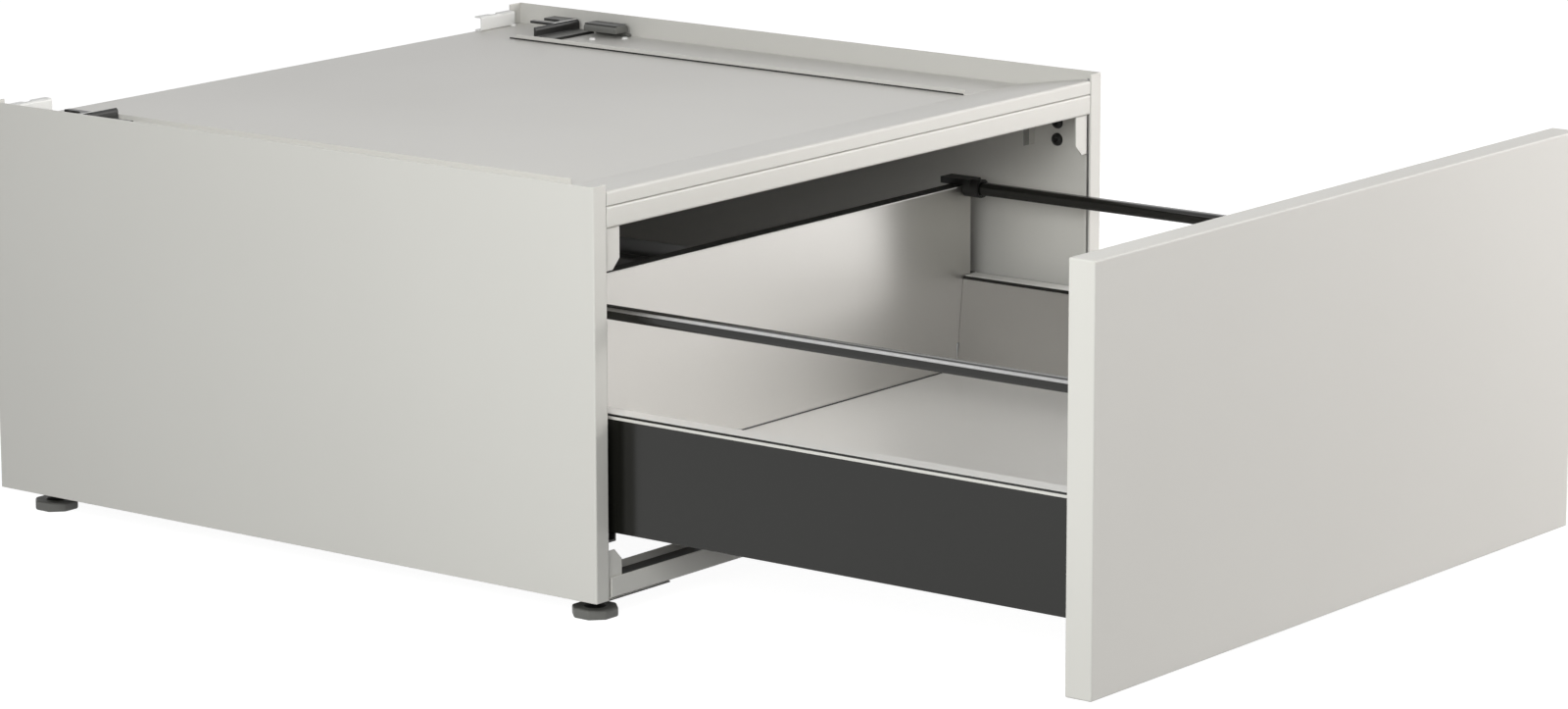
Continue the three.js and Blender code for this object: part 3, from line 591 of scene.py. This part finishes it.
# Sizes of the dark sheet that paints the deep shade inside the casing.
SHADE_SHEET_REACH = 258
SHADE_SHEET_BOTTOM = 24
SHADE_SHEET_TOP = 236
SHADE_SHEET_THICKNESS = 1.4 * MM
SHADE_SHEET_GAP = 0.1 * MM
SOFT_EDGE = 0.5 * MM


def painted_shade_sheet():
    """Dark sheet on the inner face of the closing panel: painted shade for the deep shadow inside
    the casing.
    """
    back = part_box("rear_panel")[0].y - SHADE_SHEET_GAP
    low = casing_point(-SHADE_SHEET_REACH, 0, SHADE_SHEET_BOTTOM)
    high = casing_point(SHADE_SHEET_REACH, 0, SHADE_SHEET_TOP)
    low.y = back - SHADE_SHEET_THICKNESS
    high.y = back
    bm = block(low, high)
    bevel(bm, bm.edges[:], SOFT_EDGE)
    add_piece("painted_shade_sheet", bm, CASING, "foot_plastic")


# Sizes of the dark strip that paints the shade inside the lower front rail.
SHADE_STRIP_REACH = 265 * MM
SHADE_STRIP_SIDE_GAP = 0.2 * MM
SHADE_STRIP_FOOT_GAP = 0.1 * MM
SHADE_STRIP_BELOW_EDGE = 5.0 * MM


def lower_rail_shade_strip():
    """Dark strip in the lower front rail, between the stems of the two front feet: painted shade
    for the shadowed channel behind the rail's front flange.
    """
    low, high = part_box("front_bottom_rail")
    foot = low + Vector((0, SHEET + SHADE_STRIP_SIDE_GAP, SHEET + SHADE_STRIP_FOOT_GAP))
    top = high - Vector((0, SHEET + SHADE_STRIP_SIDE_GAP, SHADE_STRIP_BELOW_EDGE))
    foot.x = -SHADE_STRIP_REACH
    top.x = SHADE_STRIP_REACH
    bm = block(foot, top)
    bevel(bm, bm.edges[:], SOFT_EDGE)
    add_piece("lower_rail_shade_strip", bm, CASING, "black_plastic")


# Sizes of the dark line that paints the shade on the front foot plates' front edges.
SHADE_LINE_INSET = 0.5 * MM
SHADE_LINE_MARGIN = 0.1 * MM
SHADE_LINE_DEPTH = 0.3 * MM
SHADE_LINE_ROUND = 0.12 * MM


def darken_foot_plate_fronts():
    """A dark line on the front edge of each front foot plate: painted shade."""
    low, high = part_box("front_foot_plate_right")
    near = Vector((low.x + SHADE_LINE_INSET, low.y - OVERLAY_PROUD, low.z + SHADE_LINE_MARGIN))
    far = Vector((high.x - SHADE_LINE_INSET, low.y + SHADE_LINE_DEPTH, high.z - SHADE_LINE_MARGIN))
    strip("foot_plate_front_shade", near, far, CASING, "black_plastic", SHADE_LINE_ROUND)


# Radius and height in mm, from the rim of the head to the start of the driver recess.
SCREW_DOME = [
    (0, 1.0), (1.3, 1.0), (1.7, 0.9), (2.1, 0.2), (2.3, 0.0),
    (3.0, 0.15), (4.2, 0.8), (4.8, 1.7), (5.0, 2.6),
]
SCREW_SHANK = 2.4 * MM


def bracket_screws():
    """Pan heads with a round driver recess, heads towards the drawer."""
    for level in ("lower", "upper"):
        low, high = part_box(f"{level}_bracket_screw_right")
        centre = Vector((low.x, (low.y + high.y) / 2, (low.z + high.z) / 2))
        length = high.x - low.x
        profile = in_mm(SCREW_DOME)
        head = profile[-1][1]
        profile += [(SCREW_SHANK, head), (SCREW_SHANK, length), (0, length)]
        for side in SIDES:
            bm = lathe(profile, centre, Vector((1, 0, 0)))
            node = f"{level}_bracket_screw_{side}"
            replace_node(f"{level}_gusset_screw_{side}", mirrored(bm, side), node)


front_lips()
side_sheets()
casing_strips()
channel_plugs()
foot_clamps()
painted_shade_sheet()
lower_rail_shade_strip()
darken_foot_plate_fronts()
bracket_screws()

# ------------------------------------------------------------------ levelling feet

PAD_SIDES = 8
PAD_HEIGHT = 7.0 * MM
PAD_EDGE = 1.6 * MM
PAD_EDGE_SEGMENTS = 4
COLLAR_RADIUS = 8.0 * MM
COLLAR_HEIGHT = 1.6 * MM
COLLAR_TAPER = 2.0 * MM
COLLAR_SINK = 0.1 * MM
STEM_RADIUS = 4.0 * MM
STEM_SINK = 0.2 * MM
THREAD_PITCH = 1.25 * MM
THREAD_DEPTH = 0.6 * MM


def foot_pad(centre, width):
    """An eight-sided pad, `width` across its flats, with rounded edges."""
    bm = bmesh.new()
    radius = width / 2 / math.cos(math.pi / PAD_SIDES)
    turn = Matrix.Rotation(math.pi / PAD_SIDES, 4, "Z")
    place = Matrix.Translation(centre + Vector((0, 0, PAD_HEIGHT / 2))) @ turn
    bmesh.ops.create_cone(bm, cap_ends=True, segments=PAD_SIDES, radius1=radius,
                          radius2=radius, depth=PAD_HEIGHT, matrix=place)
    bevel(bm, bm.edges[:], PAD_EDGE, PAD_EDGE_SEGMENTS)
    return bm


def foot_collar(centre):
    """The low collar from which the stem rises."""
    foot = PAD_HEIGHT - COLLAR_SINK
    top = PAD_HEIGHT + COLLAR_HEIGHT - COLLAR_SINK
    profile = [(0, foot), (COLLAR_RADIUS, foot), (COLLAR_RADIUS - COLLAR_TAPER, top), (0, top)]
    return lathe(profile, centre, UP)


def foot_stem(centre, height):
    """A stem with its thread as a row of ridges."""
    z = PAD_HEIGHT + COLLAR_HEIGHT - STEM_SINK
    root = STEM_RADIUS - THREAD_DEPTH
    profile = [(0, z)]
    while z < height - THREAD_PITCH:
        profile += [(root, z), (STEM_RADIUS, z + THREAD_PITCH / 2)]
        z += THREAD_PITCH
    profile += [(root, z), (root - THREAD_DEPTH, height), (0, height)]
    return lathe(profile, centre, UP)


def levelling_feet():
    for end in ("front", "rear"):
        low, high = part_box(f"{end}_levelling_foot_right")
        centre = (low + high) / 2
        centre.z = low.z
        for side in SIDES:
            node = f"{end}_levelling_foot_{side}"
            pad = foot_pad(centre, high.x - low.x)
            replace_node(f"{end}_foot_pad_{side}", mirrored(pad, side), node)
            collar = foot_collar(centre)
            add_piece(f"{end}_foot_collar_{side}", mirrored(collar, side), BODIES[node],
                      "black_plastic")
            stem = foot_stem(centre, high.z - low.z)
            add_piece(f"{end}_foot_stem_{side}", mirrored(stem, side), BODIES[node],
                      "black_steel", node)


levelling_feet()

# ------------------------------------------------------------------ drawer

FRONT_EDGE_RADIUS = 1.3 * MM
FRONT_EDGE_SEGMENTS = 5


def front_tray():
    """Outer skin of the drawer front: softly rounded, open at the back."""
    bm = block(*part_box("drawer_front_shell"))
    bevel(bm, bm.edges[:], FRONT_EDGE_RADIUS, FRONT_EDGE_SEGMENTS)
    back = max(bm.faces, key=lambda face: face.normal.y * face.calc_area())
    bmesh.ops.delete(bm, geom=[back], context="FACES")
    bmesh.ops.solidify(bm, geom=bm.faces[:], thickness=SHEET)
    replace_node("front_skin", bm, "drawer_front_shell")


SIDE_SKIN = 1.0 * MM
SIDE_SKIN_EDGE = 0.2 * MM
SIDE_TOP_RADIUS = 3.0 * MM
SIDE_INNER_RADIUS = 1.4 * MM
SIDE_RETURN = 2.2 * MM


def drawer_side_skins():
    """The dark outer sheet of each drawer side, folded over its top."""
    low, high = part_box("drawer_side_right")
    corners = [
        (high.x, high.y, low.z),
        (high.x, high.y, high.z),
        (low.x, high.y, high.z),
        (low.x, high.y, high.z - SIDE_RETURN),
    ]
    run = Vector((0, low.y - high.y, 0))
    radii = (SIDE_TOP_RADIUS, SIDE_INNER_RADIUS)
    for side in SIDES:
        bm = folded_sheet(corners, run, SIDE_SKIN, radii, SIDE_SKIN_EDGE)
        replace_node(f"side_skin_{side}", mirrored(bm, side), f"drawer_side_{side}")


# Sizes of the pale strip that paints the reflection on each drawer side's top, and of the dark
# strip that paints a shade line along its outer edge.
SHEEN_INNER_EDGE = 1.3 * MM
SHEEN_OUTER_EDGE = 3.4 * MM
SHEEN_HEIGHT = 0.35 * MM
SHEEN_SINK = 0.3 * MM
SHEEN_END_GAP = 0.5 * MM
SHEEN_EDGE_SEGMENTS = 3
EDGE_SHADE_WIDTH = 1.2 * MM
EDGE_SHADE_OVERLAP = 0.1 * MM


def side_tops():
    """The pale strip on top of each drawer side, a painted reflection on the side's top, and the
    dark strip along its outer edge, a painted shade line.
    """
    low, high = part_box("drawer_side_right")
    inner = low.x + SHEEN_INNER_EDGE
    joint = high.x - SHEEN_OUTER_EDGE
    strips = {
        "side_top_sheen": (inner, joint, SHEEN_HEIGHT, "floor_laminate"),
        "side_edge_shade": (joint - EDGE_SHADE_OVERLAP, joint + EDGE_SHADE_WIDTH, SHEEN_HEIGHT / 2, "black_plastic"),
    }
    for name, (near, far, rise, slot) in strips.items():
        for side in SIDES:
            bm = block(Vector((near, low.y + SHEEN_END_GAP, high.z - SHEEN_SINK)),
                       Vector((far, high.y - SHEEN_END_GAP, high.z + rise)))
            bevel(bm, lengthwise_edges(bm), OVERLAY_EDGE, SHEEN_EDGE_SEGMENTS)
            add_piece(f"{name}_{side}", mirrored(bm, side), DRAWER, slot)


# Sizes of the pale strip that paints the highlight on each drawer side's top edge.
EDGE_HIGHLIGHT_DEPTH = 1.1 * MM
EDGE_HIGHLIGHT_FOOT = 2.7 * MM
EDGE_HIGHLIGHT_TOP = 0.75 * MM
EDGE_HIGHLIGHT_FRONT_GAP = 2.0 * MM
EDGE_HIGHLIGHT_REAR_GAP = 6.0 * MM
EDGE_HIGHLIGHT_ROUND = 0.2 * MM


def edge_highlight():
    """Slim pale strip on the outer upper edge of each drawer side: a painted highlight along the
    rounded top edge.
    """
    low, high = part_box("drawer_side_right")
    front = Vector((high.x - EDGE_HIGHLIGHT_DEPTH, low.y, high.z - EDGE_HIGHLIGHT_FOOT))
    front.y += EDGE_HIGHLIGHT_FRONT_GAP
    rear = Vector((high.x + OVERLAY_PROUD, high.y, high.z - EDGE_HIGHLIGHT_TOP))
    rear.y -= EDGE_HIGHLIGHT_REAR_GAP
    strip("edge_highlight", front, rear, DRAWER, "casing_paint", EDGE_HIGHLIGHT_ROUND)


LINING_REACH = 248.4 * MM
# Sizes of the painted highlight on the back lining's top and of the painted shade line at the
# floor.
BACK_HIGHLIGHT_HEIGHT = 0.9 * MM
BACK_HIGHLIGHT_DEPTH = 0.5 * MM
FLOOR_SHADE_SIZE = 0.7 * MM
FLOOR_SHADE_SINK = 0.1 * MM


def back_highlight_and_floor_shade():
    """The bright upper edge of the back lining, a painted highlight, and the dark line where the
    lining meets the floor, painted shade.
    """
    low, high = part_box("drawer_back_liner")
    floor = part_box("drawer_floor")[1].z
    edge = block(Vector((-LINING_REACH, low.y - OVERLAY_PROUD, high.z - BACK_HIGHLIGHT_HEIGHT)),
                 Vector((LINING_REACH, low.y + BACK_HIGHLIGHT_DEPTH, high.z + OVERLAY_PROUD)))
    bevel(edge, edge.edges[:], OVERLAY_EDGE)
    add_piece("back_lining_highlight", edge, DRAWER, "white_paint")
    contact_shade = block(Vector((-LINING_REACH, low.y - FLOOR_SHADE_SIZE, floor - FLOOR_SHADE_SINK)),
                 Vector((LINING_REACH, low.y + FLOOR_SHADE_SINK, floor + FLOOR_SHADE_SIZE)))
    bevel(contact_shade, contact_shade.edges[:], OVERLAY_EDGE)
    add_piece("floor_shade_line", contact_shade, DRAWER, "black_plastic")


LINING_TOP_GAP = 0.1 * MM
LINING_REAR_REACH = 0.25 * MM
LINING_END = 0.2 * MM
LINING_EDGE = 0.2 * MM


def side_linings():
    """The satin lining comes up to the fold of the drawer side and meets the back lining."""
    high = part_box("drawer_side_liner_right")[1]
    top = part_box("drawer_side_right")[1].z - SIDE_RETURN - LINING_TOP_GAP
    for side in SIDES:
        node = f"drawer_side_liner_{side}"
        bm = copy_of(node)
        lengthen(bm, UPRIGHT, high.z - LINING_END, top - high.z)
        lengthen(bm, ALONG, high.y - LINING_END, LINING_REAR_REACH)
        bevel(bm, steep_edges(bm), LINING_EDGE)
        replace_node(f"side_lining_{side}", bm, node)


RAIL_CORNER_RADIUS = 3.4 * MM
RAIL_CORNER_SEGMENTS = 7


def gallery_tubes():
    """The two square tubes with well rounded corners that fence the drawer in."""
    low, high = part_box("gallery_rail_right")
    for side in SIDES:
        bm = block(low, high)
        bevel(bm, lengthwise_edges(bm), RAIL_CORNER_RADIUS, RAIL_CORNER_SEGMENTS)
        replace_node(f"gallery_tube_{side}", mirrored(bm, side), f"gallery_rail_{side}")


# Slopes and sizes of the band that paints a highlight streak along each gallery rail.
BAND_SLOPES = (math.radians(12), math.radians(52))
BAND_SEGMENTS = 9
BAND_THICKNESS = 0.2 * MM
BAND_PROUD = 0.03 * MM
BAND_FRONT_GAP = 2 * MM
BAND_REAR_GAP = 4 * MM


def rail_highlight():
    """Grey metal band on the rounded outer upper edge of each gallery rail: a painted highlight
    streak.
    """
    low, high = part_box("gallery_rail_right")
    flat, steep = BAND_SLOPES
    for side in SIDES:
        bm = block(low + Vector((0, BAND_FRONT_GAP, 0)), high - Vector((0, BAND_REAR_GAP, 0)))
        bevel(bm, lengthwise_edges(bm), RAIL_CORNER_RADIUS, BAND_SEGMENTS)
        bm.normal_update()
        others = [face for face in bm.faces
                  if not flat < math.atan2(face.normal.z, face.normal.x) < steep]
        bmesh.ops.delete(bm, geom=others, context="FACES")
        bmesh.ops.solidify(bm, geom=bm.faces[:], thickness=-BAND_THICKNESS)
        bmesh.ops.translate(bm, vec=(BAND_PROUD, 0, BAND_PROUD), verts=bm.verts)
        add_piece(f"rail_highlight_{side}", mirrored(bm, side), DRAWER, "zinc_steel")


front_tray()
drawer_side_skins()
side_tops()
edge_highlight()
back_highlight_and_floor_shade()
side_linings()
gallery_tubes()
rail_highlight()

# ------------------------------------------------------------------ studio

WORLD_FILL = 0.22
WHITE = (1.0, 1.0, 1.0)
WARM = (1.0, 0.975, 0.95)
COOL = (0.985, 1.0, 0.97)

FLOOR_SIZE = 60.0
FLOOR_TONE = 0.30
FLOOR_GLOW = 0.94
FLOOR_ROUGHNESS = 0.9
FLOOR_SPECULAR = 0.1

# A lamp that doesn't shine lights the object but isn't mirrored in it.
LAMPS = {
    "front softbox": {
        "place": (1.6, -1.32, 0.73), "target": (0.1, -0.3, 0.15), "size": (1.8, 1.3),
        "watts": 26.0, "tint": WARM, "shines": False,
    },
    "front reflector": {
        "place": (1.78, -1.47, 0.78), "target": (0.1, -0.3, 0.15), "size": (2.0, 1.4),
        "watts": 17.0, "tint": WARM, "shines": True,
    },
    "side softbox": {
        "place": (-1.5, -0.62, 0.8), "target": (-0.3, 0.0, 0.15), "size": (0.9, 0.7),
        "watts": 18.6, "tint": COOL, "shines": False,
    },
    "rear softbox": {
        "place": (0.0, 1.7, 2.2), "target": (0.0, -0.1, 0.15), "size": (0.7, 0.4),
        "watts": 0.5, "tint": WARM, "shines": True,
    },
    "edge strip": {
        "place": (-1.35, 1.0, 1.3), "target": (-0.27, -0.2, 0.12), "size": (1.1, 0.22),
        "watts": 2.5, "tint": WHITE, "shines": True,
    },
    "drawer softbox": {
        "place": (0.15, -0.75, 1.4), "target": (0.0, -0.32, 0.06), "size": (0.5, 0.3),
        "watts": 1.3, "tint": WARM, "shines": False,
    },
}


def seen_directly(tree):
    """1 for camera, glossy and transmission rays, 0 for the rays that light the object."""
    path = tree.nodes.new("ShaderNodeLightPath")
    total = path.outputs["Is Camera Ray"]
    for label in ("Is Glossy Ray", "Is Transmission Ray"):
        add = tree.nodes.new("ShaderNodeMath")
        add.operation = "MAXIMUM"
        tree.links.new(total, add.inputs[0])
        tree.links.new(path.outputs[label], add.inputs[1])
        total = add.outputs["Value"]
    return total


def make_world():
    """White where it is seen, and a dimmer fill where it lights the object."""
    world = bpy.data.worlds.new("white studio")
    world.use_nodes = True
    bpy.context.scene.world = world
    tree = world.node_tree
    strength = tree.nodes.new("ShaderNodeMapRange")
    strength.inputs["To Min"].default_value = WORLD_FILL
    strength.inputs["To Max"].default_value = 1.0
    tree.links.new(seen_directly(tree), strength.inputs["Value"])
    background = tree.nodes["Background"]
    background.inputs["Color"].default_value = (*WHITE, OPAQUE)
    tree.links.new(strength.outputs["Result"], background.inputs["Strength"])


def floor_paper():
    """Pale paper that glows where it is seen, so only the object's shadow shows on it."""
    paper, tree, shader = new_finish("pale paper floor")
    shader.inputs["Base Color"].default_value = (FLOOR_TONE, FLOOR_TONE, FLOOR_TONE, OPAQUE)
    shader.inputs["Roughness"].default_value = FLOOR_ROUGHNESS
    shader.inputs["Specular IOR Level"].default_value = FLOOR_SPECULAR
    shader.inputs["Emission Color"].default_value = (*WHITE, OPAQUE)
    glow = tree.nodes.new("ShaderNodeMath")
    glow.operation = "MULTIPLY"
    glow.inputs[1].default_value = FLOOR_GLOW
    tree.links.new(seen_directly(tree), glow.inputs[0])
    tree.links.new(glow.outputs["Value"], shader.inputs["Emission Strength"])
    return paper


def make_floor():
    bm = bmesh.new()
    bmesh.ops.create_grid(bm, x_segments=1, y_segments=1, size=FLOOR_SIZE / 2)
    mesh = bpy.data.meshes.new("studio floor")
    bm.to_mesh(mesh)
    bm.free()
    floor = bpy.data.objects.new("studio floor", mesh)
    bpy.context.scene.collection.objects.link(floor)
    mesh.materials.append(floor_paper())


def make_lamps():
    for name, lamp in LAMPS.items():
        data = bpy.data.lights.new(name, "AREA")
        data.shape = "RECTANGLE"
        data.size, data.size_y = lamp["size"]
        data.energy = lamp["watts"]
        data.color = lamp["tint"]
        light = bpy.data.objects.new(name, data)
        aim = Vector(lamp["target"]) - Vector(lamp["place"])
        light.location = lamp["place"]
        light.rotation_euler = aim.to_track_quat("-Z", "Y").to_euler()
        light.visible_camera = False
        light.visible_glossy = lamp["shines"]
        bpy.context.scene.collection.objects.link(light)


make_world()
make_floor()
make_lamps()
bpy.context.scene.view_settings.view_transform = "Standard"
